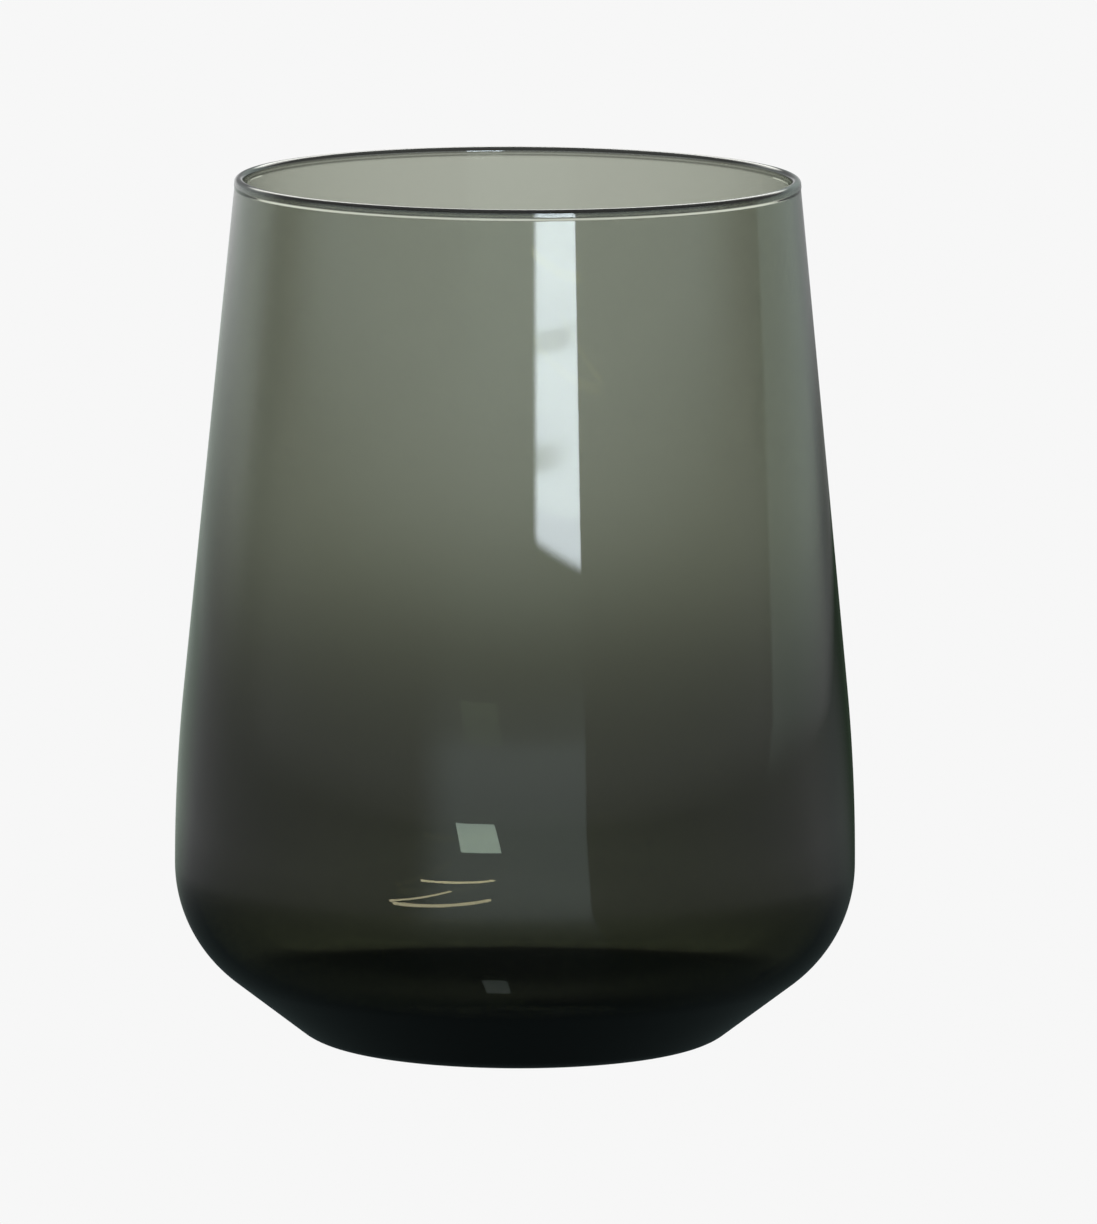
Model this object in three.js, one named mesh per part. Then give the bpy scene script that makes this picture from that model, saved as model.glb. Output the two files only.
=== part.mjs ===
import * as THREE from 'three';

// Stemless tumbler, one piece of smoked glass. Millimetres, +Z up, resting on z = 0, turned about Z.

// Driving dimensions
const height = 105;
const rimRadius = 34.2; // outside of the mouth
const bellyRadius = 41.3; // outside at the widest level
const bellyHeight = 21.4;
const wallBendRadius = 218; // long arc from the belly into the straight upper wall
const shoulderRadius = 17.3; // turn from the belly into the sloping underside
const footRadius = 22.6; // outer edge of the flat ring that the tumbler rests on
const footRingWidth = 4.2;
const footFillet = 5.7;
const puntDepth = 0.7; // shallow hollow inside the ring
const lipThickness = 1.16; // fire polished bead round the mouth
const lipStraight = 0.35; // straight part of the bead's sides
const neckThickness = 1; // wall just below the bead
const neckDepth = 1.47; // from the top of the lip down to the neck
const neckFillet = 1;
const bellyWall = 2.5;
const floorHeight = 4.2; // lowest point of the inside above the table
const bowlCornerRadius = 14; // turn from the inside floor up into the wall
const bowlDishRadius = 150; // slightly dished inside floor
const bowlBendRadius = 500; // long arc of the inside wall

// Fineness of the facets
const turns = 64;
const cornerStep = THREE.MathUtils.degToRad(10);
const bendStep = THREE.MathUtils.degToRad(2);
const lipStep = THREE.MathUtils.degToRad(30);
const neckStep = THREE.MathUtils.degToRad(10);
const puntSteps = 4;

const circle = (r, z, radius) => ({ centre: new THREE.Vector2(r, z), radius });

// Angle of the normal that two circles share along the straight line that touches both.
// A circle on the other side of the line has a negative radius.
function sharedNormal(lower, upper) {
  const gap = upper.centre.clone().sub(lower.centre);
  const share = (lower.radius - upper.radius) / gap.length();
  return Math.atan2(gap.y, gap.x) - Math.acos(THREE.MathUtils.clamp(share, -1, 1));
}

// Circle of the long bend that stands upright at the belly and runs on to the neck or the lip.
// It is held below the size at which its arc would fill the whole wall.
function bendCircle(beltRadius, top, wanted) {
  const inset = beltRadius - top.centre.x;
  const rise = top.centre.y - bellyHeight;
  const slack = 2 * (inset - top.radius);
  const largest = (inset ** 2 + rise ** 2 - top.radius ** 2) / slack;
  const radius = slack > 0 ? Math.min(wanted, largest) : wanted;
  return circle(beltRadius - radius, bellyHeight, radius);
}

// Circle that touches two larger ones from inside, on their lower side
function cornerCircle(radius, bend, dish) {
  const bendReach = bend.radius - radius;
  const dishReach = dish.radius - radius;
  const gap = dish.centre.clone().sub(bend.centre);
  const along = (bendReach ** 2 - dishReach ** 2 + gap.lengthSq()) / (2 * gap.length());
  const across = Math.sqrt(bendReach ** 2 - along ** 2);
  const direction = gap.clone().normalize();
  const centre = bend.centre.clone().addScaledVector(direction, along);
  centre.add(new THREE.Vector2(direction.y, -direction.x).multiplyScalar(across));
  return { centre, radius };
}

// Angle of the point where a circle touches a smaller one inside it
function touchAngle(larger, smaller) {
  const gap = smaller.centre.clone().sub(larger.centre);
  return Math.atan2(gap.y, gap.x);
}

// Points of an arc, both ends included
function arc({ centre, radius }, from, to, step) {
  const count = Math.max(1, Math.ceil(Math.abs(to - from) / step));
  const points = [];
  for (let i = 0; i <= count; i += 1) {
    const angle = THREE.MathUtils.lerp(from, to, i / count);
    points.push(new THREE.Vector2(Math.cos(angle), Math.sin(angle)).multiplyScalar(radius).add(centre));
  }
  return points;
}

const down = -Math.PI / 2;
const level = 0;
const up = Math.PI / 2;
const lipRadius = lipThickness / 2;
const lipOutside = circle(rimRadius - lipRadius, height - lipRadius, lipRadius);
const lipInside = circle(lipOutside.centre.x, lipOutside.centre.y, -lipRadius);
const wallLean = sharedNormal(bendCircle(bellyRadius, lipOutside, wallBendRadius), lipOutside);

// Circle placed from the lip's centre: across the wall and down along it
function belowLip(across, drop, radius) {
  const centre = new THREE.Vector2(across, -drop).rotateAround(new THREE.Vector2(), wallLean);
  return { centre: centre.add(lipOutside.centre), radius };
}

const neckDrop = neckDepth - lipRadius;
const neckAcross = neckThickness / 2 + neckFillet;

// Underside of the foot: a shallow dome inside the ring, from the axis out to the resting flat
function puntPoints() {
  const puntRadius = footRadius - footRingWidth;
  const domeRadius = (puntRadius ** 2 + puntDepth ** 2) / (2 * puntDepth);
  const dome = circle(0, puntDepth - domeRadius, domeRadius);
  const edge = Math.acos(puntRadius / domeRadius);
  return arc(dome, up, edge, (up - edge) / puntSteps);
}

// Outside, from the resting flat up to the top of the lip
function outsidePoints() {
  const foot = circle(footRadius, footFillet, footFillet);
  const shoulder = circle(bellyRadius - shoulderRadius, bellyHeight, shoulderRadius);
  const bead = belowLip(0, lipStraight, lipRadius);
  const neck = belowLip(neckAcross, neckDrop, -neckFillet);
  const bend = bendCircle(bellyRadius, neck, wallBendRadius);
  const slope = sharedNormal(foot, shoulder);
  const lean = Math.max(level, sharedNormal(bend, neck));
  const flare = sharedNormal(neck, bead);
  return [
    ...arc(foot, down, slope, cornerStep),
    ...arc(shoulder, slope, level, cornerStep),
    ...arc(bend, level, lean, bendStep).slice(1),
    ...arc(neck, lean, flare, neckStep),
    ...arc(bead, flare, wallLean, neckStep),
    ...arc(lipOutside, wallLean, up, lipStep),
  ];
}

// Inside, from the top of the lip down to the floor and in to the axis
function insidePoints() {
  const bead = belowLip(0, lipStraight, -lipRadius);
  const neck = belowLip(-neckAcross, neckDrop, neckFillet);
  const bend = bendCircle(bellyRadius - bellyWall, neck, bowlBendRadius);
  const dish = circle(0, floorHeight + bowlDishRadius, bowlDishRadius);
  const corner = cornerCircle(bowlCornerRadius, bend, dish);
  const cornerTop = touchAngle(bend, corner);
  const cornerEnd = touchAngle(dish, corner);
  const lean = Math.max(cornerTop, sharedNormal(bend, neck));
  const flare = sharedNormal(neck, bead);
  return [
    ...arc(lipInside, up - Math.PI, wallLean, lipStep),
    ...arc(bead, wallLean, flare, neckStep),
    ...arc(neck, flare, lean, neckStep),
    ...arc(bend, lean, cornerTop, bendStep),
    ...arc(corner, cornerTop, cornerEnd, cornerStep).slice(1),
    ...arc(dish, cornerEnd, down, bendStep).slice(1),
  ];
}

const smokedGlass = new THREE.MeshStandardMaterial({ color: 0x5c6259, roughness: 0.05, metalness: 0 });

const profile = [...puntPoints(), ...outsidePoints(), ...insidePoints().slice(1)];
const bodyGeometry = new THREE.LatheGeometry(profile, turns);
bodyGeometry.rotateX(Math.PI / 2);

const glassBody = new THREE.Mesh(bodyGeometry, smokedGlass);
glassBody.name = 'glass_body';

const tumbler = new THREE.Group();
tumbler.add(glassBody);

export default tumbler;
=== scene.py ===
import math

import bpy
import numpy as np
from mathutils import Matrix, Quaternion, Vector


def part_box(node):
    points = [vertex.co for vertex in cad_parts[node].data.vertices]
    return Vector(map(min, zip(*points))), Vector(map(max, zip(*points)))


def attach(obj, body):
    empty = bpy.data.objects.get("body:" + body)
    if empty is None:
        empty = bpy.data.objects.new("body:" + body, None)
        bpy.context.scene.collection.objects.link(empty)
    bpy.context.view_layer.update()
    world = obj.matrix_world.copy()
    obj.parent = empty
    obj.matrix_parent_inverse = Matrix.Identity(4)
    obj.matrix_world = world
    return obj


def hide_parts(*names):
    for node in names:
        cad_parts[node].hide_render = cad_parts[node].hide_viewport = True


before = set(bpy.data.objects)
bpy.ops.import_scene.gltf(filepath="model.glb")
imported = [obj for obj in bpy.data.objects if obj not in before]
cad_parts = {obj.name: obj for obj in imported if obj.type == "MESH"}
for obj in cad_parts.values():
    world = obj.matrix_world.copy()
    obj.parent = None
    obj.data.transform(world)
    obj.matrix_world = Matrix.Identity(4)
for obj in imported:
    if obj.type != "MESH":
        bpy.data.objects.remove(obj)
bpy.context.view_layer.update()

glassLow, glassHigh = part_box("glass_body")
mm = 0.001

tumbler = {
    "height": glassHigh.z - glassLow.z,
    "bellyRadius": (glassHigh.x - glassLow.x) / 2,
    "rimRadius": 34.2 * mm,
    "bellyHeight": 21.4 * mm,
    "wallBendRadius": 218 * mm,
    "shoulderRadius": 17.3 * mm,
    "footRadius": 22.6 * mm,
    "footRingWidth": 4.2 * mm,
    "footFillet": 5.7 * mm,
    "puntDepth": 0.7 * mm,
    "lipThickness": 1.16 * mm,
    "lipStraight": 0.35 * mm,
    "neckThickness": 1.0 * mm,
    "neckDepth": 1.47 * mm,
    "neckFillet": 1.0 * mm,
    "bellyWall": 2.5 * mm,
    "floorHeight": 4.2 * mm,
    "bowlCornerRadius": 14 * mm,
    "bowlDishRadius": 150 * mm,
    "bowlBendRadius": 500 * mm,
    "turns": 240,
    "cornerStep": math.radians(1.5),
    "bendStep": math.radians(0.12),
    "lipStep": math.radians(5),
    "dishStep": math.radians(0.4),
    "straightStep": 1.6 * mm,
}


def circle(r, z, radius):
    return {"r": r, "z": z, "radius": radius}


# angle of the normal along the straight line that touches both circles
def sharedNormal(lower, upper):
    dr = upper["r"] - lower["r"]
    dz = upper["z"] - lower["z"]
    share = (lower["radius"] - upper["radius"]) / math.hypot(dr, dz)
    return math.atan2(dz, dr) - math.acos(max(-1, min(1, share)))


def arc(c, start, end, step):
    count = max(1, math.ceil(abs(end - start) / step))
    angles = [start + (end - start) * i / count for i in range(count + 1)]
    return [(c["r"] + c["radius"] * math.cos(a), c["z"] + c["radius"] * math.sin(a)) for a in angles]


# the points between two ends of a straight stretch, ends left out
def between(a, b, step):
    count = max(1, math.ceil(math.dist(a, b) / step))
    return [(a[0] + (b[0] - a[0]) * i / count, a[1] + (b[1] - a[1]) * i / count) for i in range(1, count)]


def bendCircle(beltRadius, beltHeight, top, wanted):
    inset = beltRadius - top["r"]
    rise = top["z"] - beltHeight
    largest = (inset ** 2 + rise ** 2 - top["radius"] ** 2) / (2 * (inset - top["radius"]))
    radius = min(wanted, largest)
    return circle(beltRadius - radius, beltHeight, radius)


# circle that touches two larger ones from inside, on their lower side
def cornerCircle(radius, bend, dish):
    bendReach = bend["radius"] - radius
    dishReach = dish["radius"] - radius
    dr = dish["r"] - bend["r"]
    dz = dish["z"] - bend["z"]
    gap = math.hypot(dr, dz)
    along = (bendReach ** 2 - dishReach ** 2 + gap ** 2) / (2 * gap)
    across = math.sqrt(bendReach ** 2 - along ** 2)
    r = bend["r"] + (along * dr + across * dz) / gap
    z = bend["z"] + (along * dz - across * dr) / gap
    return circle(r, z, radius)


# angle at which one circle touches another, seen from the larger one
def touchAngle(larger, smaller):
    return math.atan2(smaller["z"] - larger["z"], smaller["r"] - larger["r"])


# circle placed from the lip's: across the wall and down along it
def belowLip(lip, lean, across, drop, radius):
    r = lip["r"] + across * math.cos(lean) + drop * math.sin(lean)
    z = lip["z"] + across * math.sin(lean) - drop * math.cos(lean)
    return circle(r, z, radius)


def tumblerProfile(t):
    down, up = -math.pi / 2, math.pi / 2
    lipRadius = t["lipThickness"] / 2
    lipOut = circle(t["rimRadius"] - lipRadius, t["height"] - lipRadius, lipRadius)
    lipIn = circle(lipOut["r"], lipOut["z"], -lipRadius)
    lipWall = bendCircle(t["bellyRadius"], t["bellyHeight"], lipOut, t["wallBendRadius"])
    wallLean = sharedNormal(lipWall, lipOut)

    puntRadius = t["footRadius"] - t["footRingWidth"]
    domeRadius = (puntRadius ** 2 + t["puntDepth"] ** 2) / (2 * t["puntDepth"])
    dome = circle(0, t["puntDepth"] - domeRadius, domeRadius)
    foot = circle(t["footRadius"], t["footFillet"], t["footFillet"])
    shoulder = circle(t["bellyRadius"] - t["shoulderRadius"], t["bellyHeight"], t["shoulderRadius"])
    neckDrop = t["neckDepth"] - lipRadius
    neckAcross = t["neckThickness"] / 2 + t["neckFillet"]
    beadOut = belowLip(lipOut, wallLean, 0, t["lipStraight"], lipRadius)
    neckOut = belowLip(lipOut, wallLean, neckAcross, neckDrop, -t["neckFillet"])
    wall = bendCircle(t["bellyRadius"], t["bellyHeight"], neckOut, t["wallBendRadius"])
    slope = sharedNormal(foot, shoulder)
    lean = sharedNormal(wall, neckOut)
    flare = sharedNormal(neckOut, beadOut)

    beadIn = belowLip(lipOut, wallLean, 0, t["lipStraight"], -lipRadius)
    neckIn = belowLip(lipOut, wallLean, -neckAcross, neckDrop, t["neckFillet"])
    bowl = bendCircle(t["bellyRadius"] - t["bellyWall"], t["bellyHeight"], neckIn, t["bowlBendRadius"])
    bowlLean = sharedNormal(bowl, neckIn)
    bowlFlare = sharedNormal(neckIn, beadIn)
    bowlDish = circle(0, t["floorHeight"] + t["bowlDishRadius"], t["bowlDishRadius"])
    corner = cornerCircle(t["bowlCornerRadius"], bowl, bowlDish)
    cornerTop = touchAngle(bowl, corner)
    cornerEnd = touchAngle(bowlDish, corner)

    stretches = [
        arc(dome, up, math.acos(puntRadius / domeRadius), t["dishStep"]),
        arc(foot, down, slope, t["cornerStep"]),
        arc(shoulder, slope, 0, t["cornerStep"]),
        arc(wall, 0, lean, t["bendStep"])[1:],
        arc(neckOut, lean, flare, t["cornerStep"]),
        arc(beadOut, flare, wallLean, t["cornerStep"]),
        arc(lipOut, wallLean, up, t["lipStep"]),
        arc(lipIn, -up, wallLean, t["lipStep"])[1:],
        arc(beadIn, wallLean, bowlFlare, t["cornerStep"]),
        arc(neckIn, bowlFlare, bowlLean, t["cornerStep"]),
        arc(bowl, bowlLean, cornerTop, t["bendStep"]),
        arc(corner, cornerTop, cornerEnd, t["cornerStep"])[1:],
        arc(bowlDish, cornerEnd, down, t["dishStep"])[1:],
    ]
    points = []
    for stretch in stretches:
        if points:
            points += between(points[-1], stretch[0], t["straightStep"])
        points += stretch
    return points


# turns a profile that starts and ends on the axis into one closed mesh
def turnedMesh(name, profile, turns):
    rings = profile[1:-1]
    angles = np.arange(turns) * 2 * math.pi / turns
    ringPoints = [
        np.column_stack((r * np.cos(angles), r * np.sin(angles), np.full(turns, z))) for r, z in rings
    ]
    vertices = [(0, 0, profile[0][1])] + np.concatenate(ringPoints).tolist() + [(0, 0, profile[-1][1])]
    last = len(vertices) - 1
    faces = []
    for i in range(turns):
        j = (i + 1) % turns
        faces.append((0, 1 + j, 1 + i))
        top = 1 + (len(rings) - 1) * turns
        faces.append((top + i, top + j, last))
        for k in range(len(rings) - 1):
            a = 1 + k * turns
            b = a + turns
            faces.append((a + i, a + j, b + j, b + i))
    mesh = bpy.data.meshes.new(name)
    mesh.from_pydata(vertices, [], faces)
    mesh.validate()
    mesh.shade_smooth()
    obj = bpy.data.objects.new(name, mesh)
    bpy.context.scene.collection.objects.link(obj)
    return obj


# a maths node whose inputs are sockets or plain numbers
def mathNode(nodes, links, operation, *values):
    node = nodes.new("ShaderNodeMath")
    node.operation = operation
    for socket, value in zip(node.inputs, values):
        if isinstance(value, (int, float)):
            socket.default_value = value
        else:
            links.new(value, socket)
    return node.outputs[0]


# a soft step from one value to another
def rampNode(nodes, links, value, fromMin, fromMax, toMin=0, toMax=1, kind="SMOOTHSTEP"):
    node = nodes.new("ShaderNodeMapRange")
    node.interpolation_type = kind
    links.new(value, node.inputs["Value"])
    for name, given in (("From Min", fromMin), ("From Max", fromMax), ("To Min", toMin), ("To Max", toMax)):
        if isinstance(given, (int, float)):
            node.inputs[name].default_value = given
        else:
            links.new(given, node.inputs[name])
    return node.outputs["Result"]


# a mix of two colours, each a socket or three numbers
def colourMix(nodes, links, share, first, second):
    node = nodes.new("ShaderNodeMix")
    node.data_type = "RGBA"
    links.new(share, node.inputs["Factor"])
    for name, colour in (("A", first), ("B", second)):
        if isinstance(colour, tuple):
            node.inputs[name].default_value = (*colour, 1)
        else:
            links.new(colour, node.inputs[name])
    return node.outputs["Result"]


# a node group with one vector input, Place, and one output
def placeGroup(name, output, kind):
    group = bpy.data.node_groups.new(name, "ShaderNodeTree")
    group.interface.new_socket("Place", in_out="INPUT", socket_type="NodeSocketVector")
    group.interface.new_socket(output, in_out="OUTPUT", socket_type=kind)
    place = group.nodes.new("NodeGroupInput").outputs["Place"]
    return group, group.nodes, group.links, place, group.nodes.new("NodeGroupOutput").inputs[output]


smokedGlass = {
    "ior": 1.52,
    "absorbed": (790, 778, 865),  # of red, green and blue, per metre of glass
    "densityMargin": 1.1,  # keeps each part of the absorption colour above zero
    "skin": (0.962, 0.995, 0.925),  # green-grey tint of each wall
    "polish": 0.0,
    "smudged": 0.012,
    "smudgeScale": 26,
    "smudgeDetail": 6,
    "smudgeReach": (0.5, 0.75),
    "waveScale": 34,
    "waveDetail": 1,
    "waveHeight": 0.004 * mm,
    "rimDepth": 2 * mm,
    # painted shade: light kept by the rim at each depth below its top, as a share of rimDepth
    "rimKeeps": [(0, 0.01), (0.19, 0.01), (0.28, 0.25), (0.4, 0.8), (0.5, 0.4), (0.55, 1)],
    "speckScale": 46,
    "speckReach": (0.009, 0.018),
    "speckTone": 0.25,
}


# painted shade: dark lines painted into the glass colour where the rounded rim turns light away
def rimShadeGroup(g):
    group, nodes, links, place, output = placeGroup("rimShade", "Colour", "NodeSocketColor")
    split = nodes.new("ShaderNodeSeparateXYZ")
    links.new(place, split.inputs[0])
    rimTop = glassHigh.z
    depth = rampNode(nodes, links, split.outputs["Z"], rimTop, rimTop - g["rimDepth"], kind="LINEAR")
    ramp = nodes.new("ShaderNodeValToRGB")
    links.new(depth, ramp.inputs[0])
    stops = ramp.color_ramp.elements
    stops.remove(stops[1])
    for i, (position, share) in enumerate(g["rimKeeps"]):
        stop = stops.new(position) if i else stops[0]
        stop.position = position
        stop.color = (*(kept * share for kept in g["skin"]), 1)
    links.new(ramp.outputs["Color"], output)
    return group


# a few tiny dark specks in the skin of the glass
def speckGroup(g):
    group, nodes, links, place, output = placeGroup("specks", "Mask", "NodeSocketFloat")
    cells = nodes.new("ShaderNodeTexVoronoi")
    links.new(place, cells.inputs["Vector"])
    cells.inputs["Scale"].default_value = g["speckScale"]
    mask = rampNode(nodes, links, cells.outputs["Distance"], *g["speckReach"], 1, 0, "LINEAR")
    links.new(mask, output)
    return group


# faint smudges left by handling, as a change of roughness
def smudgeGroup(g):
    group, nodes, links, place, output = placeGroup("smudges", "Roughness", "NodeSocketFloat")
    noise = nodes.new("ShaderNodeTexNoise")
    links.new(place, noise.inputs["Vector"])
    noise.inputs["Scale"].default_value = g["smudgeScale"]
    noise.inputs["Detail"].default_value = g["smudgeDetail"]
    links.new(rampNode(nodes, links, noise.outputs[0], *g["smudgeReach"], g["polish"], g["smudged"]), output)
    return group


def smokedGlassMaterial(g):
    material = bpy.data.materials.new("smokedGlass")
    material.use_nodes = True
    nodes, links = material.node_tree.nodes, material.node_tree.links
    shader = nodes["Principled BSDF"]
    shader.inputs["IOR"].default_value = g["ior"]
    shader.inputs["Transmission Weight"].default_value = 1
    place = nodes.new("ShaderNodeTexCoord").outputs["Object"]

    def effect(group, output):
        node = nodes.new("ShaderNodeGroup")
        node.node_tree = group
        links.new(place, node.inputs["Place"])
        return node.outputs[output]

    specks = effect(speckGroup(g), "Mask")
    # glass colour: green-grey wall tint with the painted shade of the rim's dark lines, and dust specks
    skin = colourMix(nodes, links, specks, effect(rimShadeGroup(g), "Colour"), (g["speckTone"],) * 3)
    links.new(skin, shader.inputs["Base Color"])
    links.new(effect(smudgeGroup(g), "Roughness"), shader.inputs["Roughness"])
    waves = nodes.new("ShaderNodeTexNoise")
    links.new(place, waves.inputs["Vector"])
    waves.inputs["Scale"].default_value = g["waveScale"]
    waves.inputs["Detail"].default_value = g["waveDetail"]
    bump = nodes.new("ShaderNodeBump")
    links.new(waves.outputs[0], bump.inputs["Height"])
    bump.inputs["Distance"].default_value = g["waveHeight"]
    links.new(bump.outputs["Normal"], shader.inputs["Normal"])
    tint = nodes.new("ShaderNodeVolumeAbsorption")
    density = max(g["absorbed"]) * g["densityMargin"]
    tint.inputs["Color"].default_value = (*(1 - a / density for a in g["absorbed"]), 1)
    tint.inputs["Density"].default_value = density
    links.new(tint.outputs["Volume"], nodes["Material Output"].inputs["Volume"])
    return material


print("glass")
glass = turnedMesh("tumbler_glass", tumblerProfile(tumbler), tumbler["turns"])
glass.data.materials.append(smokedGlassMaterial(smokedGlass))
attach(glass, "root")
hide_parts("glass_body")

print("studio")
studio = {
    "white": 0.93,
    "overhead": 3.0,  # bright sky, seen only through the near side of the rim
    "skyReach": (110, 290),  # mm up the tent
    "floorSize": 12.0,
    "floorDrop": 0.2 * mm,  # keeps the floor clear of the foot
    "tentRadius": 0.5,
    "tentHeight": 0.6,
    "tentSides": 96,
    "dim": (0.33, 0.34, 0.34),  # unlit surroundings, seen only in reflections
    "ceiling": (0.5, 0.52, 0.53),
    "floorNearShadow": (0.03, 0.041, 0.041),  # painted shadow: floor close to the foot, in reflections
    "dimReach": (0.043, 0.23),
    "shade": 0.12,  # painted shadow: floor under the foot, seen through the glass
    "shadeReach": (0.03, 0.05),
    "bounces": 24,
    "glossyBounces": 16,
}

# bars that dim the window where they cross it
windowBars = {
    "upperBar": {
        "left": 2, "right": 21, "bottom": 121.2, "top": 124.8,
        "leftBlur": 2, "rightBlur": 5, "endBlur": 1.2, "keeps": 0.62,
    },
    "lowerBar": {
        "left": 0, "right": 15, "bottom": 103.5, "top": 107.5,
        "leftBlur": 1, "rightBlur": 8, "endBlur": 1.4, "keeps": 0.5,
    },
}

# light panels round the glass: left and right in degrees from the camera, bottom and top in mm above the
# table; lean moves the sides, in degrees for each mm of height, and slope the ends, in mm for each degree;
# a colour below zero takes light away from the surroundings
panels = {
    "lowFront": {
        "left": -98, "right": 98, "bottom": 16, "top": 330,
        "leftBlur": 14, "rightBlur": 10, "endBlur": 24, "colour": (0.18, 0.18, 0.19),
    },
    "front": {
        "left": -88, "right": 84, "bottom": 95, "top": 330,
        "leftBlur": 14, "rightBlur": 14, "endBlur": 26, "colour": (0.5, 0.61, 0.64),
    },
    "middle": {
        "left": -22, "right": 12, "bottom": 98, "top": 330,
        "leftBlur": 18, "rightBlur": 14, "endBlur": 34, "colour": (0.12, 0.15, 0.16),
    },
    "sideLeft": {
        "left": -152, "right": -114, "bottom": 44, "top": 330,
        "leftBlur": 16, "rightBlur": 11, "endBlur": 26, "colour": (0.5, 0.56, 0.53),
    },
    "sideRight": {
        "left": 90.5, "right": 136, "bottom": 20, "top": 330,
        "leftBlur": 1.5, "rightBlur": 22, "endBlur": 24, "lean": 0.2, "colour": (0.29, 0.38, 0.34),
    },
    "rearLeft": {
        "left": -200, "right": -152, "bottom": 44, "top": 140,
        "leftBlur": 10, "rightBlur": 16, "endBlur": 30, "colour": (0.5, 0.5, 0.5),
    },
    "rearRight": {
        "left": 172, "right": 200, "bottom": 60, "top": 140,
        "leftBlur": 14, "rightBlur": 10, "endBlur": 30, "colour": (0.5, 0.5, 0.5),
    },
    "edgeLeft": {
        "left": -215, "right": -138, "bottom": -300, "top": 43,
        "leftBlur": 8, "rightBlur": 12, "endBlur": 14, "colour": (0.08, 0.12, 0.08),
    },
    "floorFront": {
        "left": -50, "right": 60, "bottom": -300, "top": 4,
        "leftBlur": 20, "rightBlur": 20, "endBlur": 6, "colour": (-0.09, -0.09, -0.08),
    },
    "floorRight": {
        "left": 122, "right": 215, "bottom": -300, "top": 4,
        "leftBlur": 12, "rightBlur": 8, "endBlur": 6, "colour": (-0.14, -0.13, -0.14),
    },
    "floorLeft": {
        "left": -215, "right": -140, "bottom": -300, "top": 4,
        "leftBlur": 8, "rightBlur": 10, "endBlur": 6, "colour": (-0.09, -0.08, -0.09),
    },
    "darkRight": {
        "left": 142, "right": 215, "bottom": -300, "top": 34,
        "leftBlur": 14, "rightBlur": 8, "endBlur": 16, "colour": (-0.16, -0.16, -0.17),
    },
    "topRight": {
        "left": 150, "right": 240, "bottom": 290, "top": 900,
        "leftBlur": 20, "rightBlur": 20, "endBlur": 40, "colour": (4.8, 4.8, 4.5),
    },
    "topLeft": {
        "left": -240, "right": -150, "bottom": 290, "top": 900,
        "leftBlur": 20, "rightBlur": 20, "endBlur": 40, "colour": (4.8, 4.8, 4.5),
    },
    "window": {
        "left": 7, "right": 22.5, "bottom": 95.9, "top": 330,
        "leftBlur": 1.5, "rightBlur": 0.3, "endBlur": 1.5, "slope": 0.38, "colour": (10, 11.2, 12.2),
        "bars": windowBars,
    },
    "sill": {
        "left": -26, "right": 23, "bottom": -90, "top": 62,
        "leftBlur": 9, "rightBlur": 0.5, "endBlur": 14, "colour": (0.45, 0.55, 0.58),
    },
}

panelSockets = {
    "Left": "left", "Right": "right", "Bottom": "bottom", "Top": "top",
    "Left Blur": "leftBlur", "Right Blur": "rightBlur", "End Blur": "endBlur",
    "Lean": "lean", "Slope": "slope",
}

# small bright cards that the foot mirrors: degrees from the camera, distance and height of each corner in mm
cards = [
    {"name": "glint", "corners": [(-16.6, 362, -3), (-3.6, 362, -3), (-6.4, 362, 14), (-18.6, 362, 14)],
     "colour": (4, 5, 4.3)},
    {"name": "footGlint", "corners": [(-6.2, 41, 0), (-0.6, 41, 0), (-1.6, 46, 0), (-7.4, 46, 0)],
     "colour": (0.4, 0.48, 0.45)},
    {"name": "upperStrip", "corners": [(-29, 238, 0), (-6, 247, 0), (-6, 253, 0), (-29, 244, 0)],
     "colour": (7, 6.5, 4)},
    {"name": "middleStrip", "corners": [(-38, 187, 0), (-19, 216, 0), (-19, 220, 0), (-38, 191, 0)],
     "colour": (6, 5.5, 3.5)},
    {"name": "lowerStrip", "corners": [(-37, 182, 0), (-7, 198, 0), (-7, 204, 0), (-37, 188, 0)],
     "colour": (6, 5.5, 3.5)},
]


# strength of one soft-edged panel of light round the glass
def softPanelGroup():
    group = bpy.data.node_groups.new("softPanel", "ShaderNodeTree")
    for name in ("Around", "Height", *panelSockets):
        group.interface.new_socket(name, in_out="INPUT", socket_type="NodeSocketFloat")
    group.interface.new_socket("Light", in_out="OUTPUT", socket_type="NodeSocketFloat")
    nodes, links = group.nodes, group.links
    given = nodes.new("NodeGroupInput").outputs
    leant = mathNode(nodes, links, "MULTIPLY", given["Lean"], -1)
    around = mathNode(nodes, links, "MULTIPLY_ADD", given["Height"], leant, given["Around"])
    height = mathNode(nodes, links, "MULTIPLY_ADD", given["Around"], given["Slope"], given["Height"])

    def edge(value, place, blur, toMin, toMax):
        start = mathNode(nodes, links, "SUBTRACT", given[place], given[blur])
        end = mathNode(nodes, links, "ADD", given[place], given[blur])
        return rampNode(nodes, links, value, start, end, toMin, toMax)

    light = edge(around, "Left", "Left Blur", 0, 1)
    light = mathNode(nodes, links, "MULTIPLY", light, edge(around, "Right", "Right Blur", 1, 0))
    light = mathNode(nodes, links, "MULTIPLY", light, edge(height, "Bottom", "End Blur", 0, 1))
    light = mathNode(nodes, links, "MULTIPLY", light, edge(height, "Top", "End Blur", 1, 0))
    links.new(light, nodes.new("NodeGroupOutput").inputs["Light"])
    return group


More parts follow.
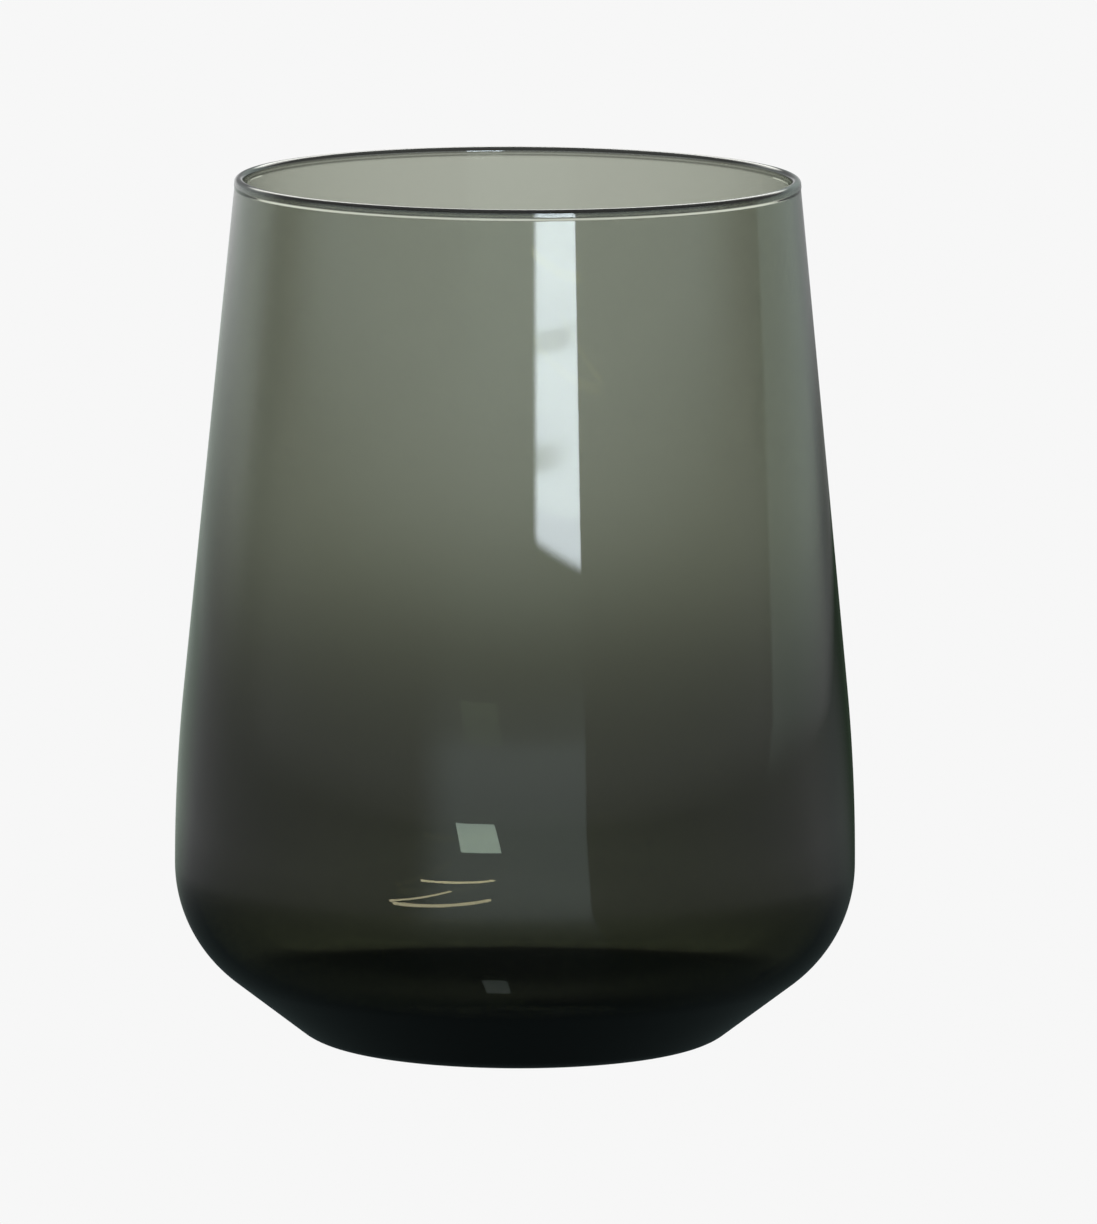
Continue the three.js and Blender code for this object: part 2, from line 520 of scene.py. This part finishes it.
# degrees round from the camera and millimetres up, then metres out, from the object's own coordinates
def placeAround(nodes, links):
    place = nodes.new("ShaderNodeTexCoord")
    split = nodes.new("ShaderNodeSeparateXYZ")
    links.new(place.outputs["Object"], split.inputs[0])
    front = mathNode(nodes, links, "MULTIPLY", split.outputs["Y"], -1)
    angle = mathNode(nodes, links, "ARCTAN2", split.outputs["X"], front)
    degrees = mathNode(nodes, links, "DEGREES", angle)
    height = mathNode(nodes, links, "DIVIDE", split.outputs["Z"], mm)
    flat = nodes.new("ShaderNodeCombineXYZ")
    links.new(split.outputs["X"], flat.inputs["X"])
    links.new(split.outputs["Y"], flat.inputs["Y"])
    out = nodes.new("ShaderNodeVectorMath")
    out.operation = "LENGTH"
    links.new(flat.outputs[0], out.inputs[0])
    return degrees, height, out.outputs["Value"]


def softPanel(nodes, links, group, panel, around, height):
    soft = nodes.new("ShaderNodeGroup")
    soft.node_tree = group
    links.new(around, soft.inputs["Around"])
    if height:
        links.new(height, soft.inputs["Height"])
    for socket, key in panelSockets.items():
        soft.inputs[socket].default_value = panel.get(key, 0)
    return soft.outputs["Light"]


# sum of the dim surroundings and the panels, with the bars that cross a panel
def panelLight(nodes, links, group, around, height):
    colour = studio["dim"]
    for panel in panels.values():
        light = softPanel(nodes, links, group, panel, around, height)
        for bar in panel.get("bars", {}).values():
            across = softPanel(nodes, links, group, bar, around, height)
            kept = rampNode(nodes, links, across, 0, 1, 1, bar["keeps"], "LINEAR")
            light = mathNode(nodes, links, "MULTIPLY", light, kept)
        add = nodes.new("ShaderNodeVectorMath")
        add.operation = "MULTIPLY_ADD"
        links.new(light, add.inputs[0])
        add.inputs[1].default_value = panel["colour"]
        if isinstance(colour, tuple):
            add.inputs[2].default_value = colour
        else:
            links.new(colour, add.inputs[2])
        colour = add.outputs[0]
    return colour


# 1 for light that has been mirrored on its way to the camera
def mirrored(nodes, links):
    path = nodes.new("ShaderNodeLightPath")
    return mathNode(nodes, links, "GREATER_THAN", path.outputs["Glossy Depth"], 0.5)


def glowMaterial(name):
    material = bpy.data.materials.new(name)
    material.use_nodes = True
    nodes, links = material.node_tree.nodes, material.node_tree.links
    nodes.remove(nodes["Principled BSDF"])
    return material, nodes, links, nodes.new("ShaderNodeEmission")


# shows the glow where share is 1 and nothing where it is 0
def showGlow(nodes, links, glow, share):
    clear = nodes.new("ShaderNodeBsdfTransparent")
    choose = nodes.new("ShaderNodeMixShader")
    links.new(share, choose.inputs[0])
    links.new(clear.outputs[0], choose.inputs[1])
    links.new(glow.outputs[0], choose.inputs[2])
    links.new(choose.outputs[0], nodes["Material Output"].inputs["Surface"])


def stageObject(name, vertices, faces, material):
    mesh = bpy.data.meshes.new(name)
    mesh.from_pydata(vertices, [], faces)
    mesh.materials.append(material)
    obj = bpy.data.objects.new(name, mesh)
    bpy.context.scene.collection.objects.link(obj)
    return obj


panelGroup = softPanelGroup()

# floor: plain white to the camera, painted shadow under the foot through the glass, dim where it is
# mirrored, with painted shadow close to the foot
material, nodes, links, glow = glowMaterial("paleFloor")
around, _, out = placeAround(nodes, links)
white = (studio["white"],) * 3
# painted shadow under the foot, for light that comes through the glass
shade = rampNode(nodes, links, out, *studio["shadeReach"], studio["shade"], studio["white"])
# painted shadow close to the foot, for light the glass mirrors
reach = rampNode(nodes, links, out, *studio["dimReach"])
light = panelLight(nodes, links, panelGroup, around, None)
dimmed = colourMix(nodes, links, reach, studio["floorNearShadow"], light)
path = nodes.new("ShaderNodeLightPath")
seen = colourMix(nodes, links, path.outputs["Is Camera Ray"], shade, white)
links.new(colourMix(nodes, links, mirrored(nodes, links), seen, dimmed), glow.inputs["Color"])
links.new(glow.outputs[0], nodes["Material Output"].inputs["Surface"])
half = studio["floorSize"] / 2
floor = stageObject("studio_floor", [(-half, -half, 0), (half, -half, 0), (half, half, 0), (-half, half, 0)],
                    [(0, 1, 2, 3)], material)
floor.location.z = glassLow.z - studio["floorDrop"]

# tent of light panels, seen only in reflections, and its bright sky, seen only through the near rim
material, nodes, links, glow = glowMaterial("tentPanels")
around, height, _ = placeAround(nodes, links)
light = panelLight(nodes, links, panelGroup, around, height)
isMirrored = mirrored(nodes, links)
sky = rampNode(nodes, links, height, *studio["skyReach"])
path = nodes.new("ShaderNodeLightPath")
farSide = mathNode(nodes, links, "GREATER_THAN", path.outputs["Ray Length"], studio["tentRadius"])
through = mathNode(nodes, links, "MULTIPLY", farSide, path.outputs["Is Transmission Ray"])
skyLit = mathNode(nodes, links, "MULTIPLY", through, sky)
links.new(colourMix(nodes, links, isMirrored, (studio["overhead"],) * 3, light), glow.inputs["Color"])
showGlow(nodes, links, glow, mathNode(nodes, links, "MAXIMUM", skyLit, isMirrored))
sides = studio["tentSides"]
ring = [(studio["tentRadius"] * math.cos(2 * math.pi * i / sides),
         studio["tentRadius"] * math.sin(2 * math.pi * i / sides)) for i in range(sides)]
stageObject("studio_tent", [(x, y, 0) for x, y in ring] + [(x, y, studio["tentHeight"]) for x, y in ring],
            [(i, (i + 1) % sides, sides + (i + 1) % sides, sides + i) for i in range(sides)], material)

for card in cards:
    material, nodes, links, glow = glowMaterial(card["name"])
    glow.inputs["Color"].default_value = (*card["colour"], 1)
    showGlow(nodes, links, glow, mirrored(nodes, links))
    corners = []
    for around, out, up in card["corners"]:
        angle = math.radians(around)
        corners.append((out * mm * math.sin(angle), -out * mm * math.cos(angle), up * mm))
    stageObject("studio_" + card["name"], corners, [(0, 1, 2, 3)], material)

world = bpy.data.worlds.new("studioWorld")
world.use_nodes = True
nodes, links = world.node_tree.nodes, world.node_tree.links
surroundings = colourMix(nodes, links, mirrored(nodes, links), white, studio["ceiling"])
links.new(surroundings, nodes["Background"].inputs["Color"])
scene = bpy.context.scene
scene.world = world
scene.view_settings.view_transform = "Standard"
scene.cycles.max_bounces = studio["bounces"]
scene.cycles.transmission_bounces = studio["bounces"]
scene.cycles.glossy_bounces = studio["glossyBounces"]
scene.cycles.transparent_max_bounces = studio["glossyBounces"]

print("camera")
view = {
    "distance": 1.7,
    "elevation": math.radians(8.27),
    "lens": 412.65,
    "sensorWidth": 36,
    "clipEnd": 100,
    "roll": math.radians(0.25),
    "aimRight": 3.94 * mm,
    "aimDown": 0.46 * mm,
}
cameraData = bpy.data.cameras.new("studioCamera")
cameraData.lens = view["lens"]
cameraData.sensor_width = view["sensorWidth"]
cameraData.clip_end = view["clipEnd"]
camera = bpy.data.objects.new("studioCamera", cameraData)
scene.collection.objects.link(camera)
aim = Vector((view["aimRight"], 0, (glassLow.z + glassHigh.z) / 2 - view["aimDown"]))
back = Vector((0, -math.cos(view["elevation"]), math.sin(view["elevation"])))
camera.location = aim + back * view["distance"]
camera.rotation_mode = "QUATERNION"
camera.rotation_quaternion = (-back).to_track_quat("-Z", "Y") @ Quaternion((0, 0, 1), view["roll"])
scene.camera = camera
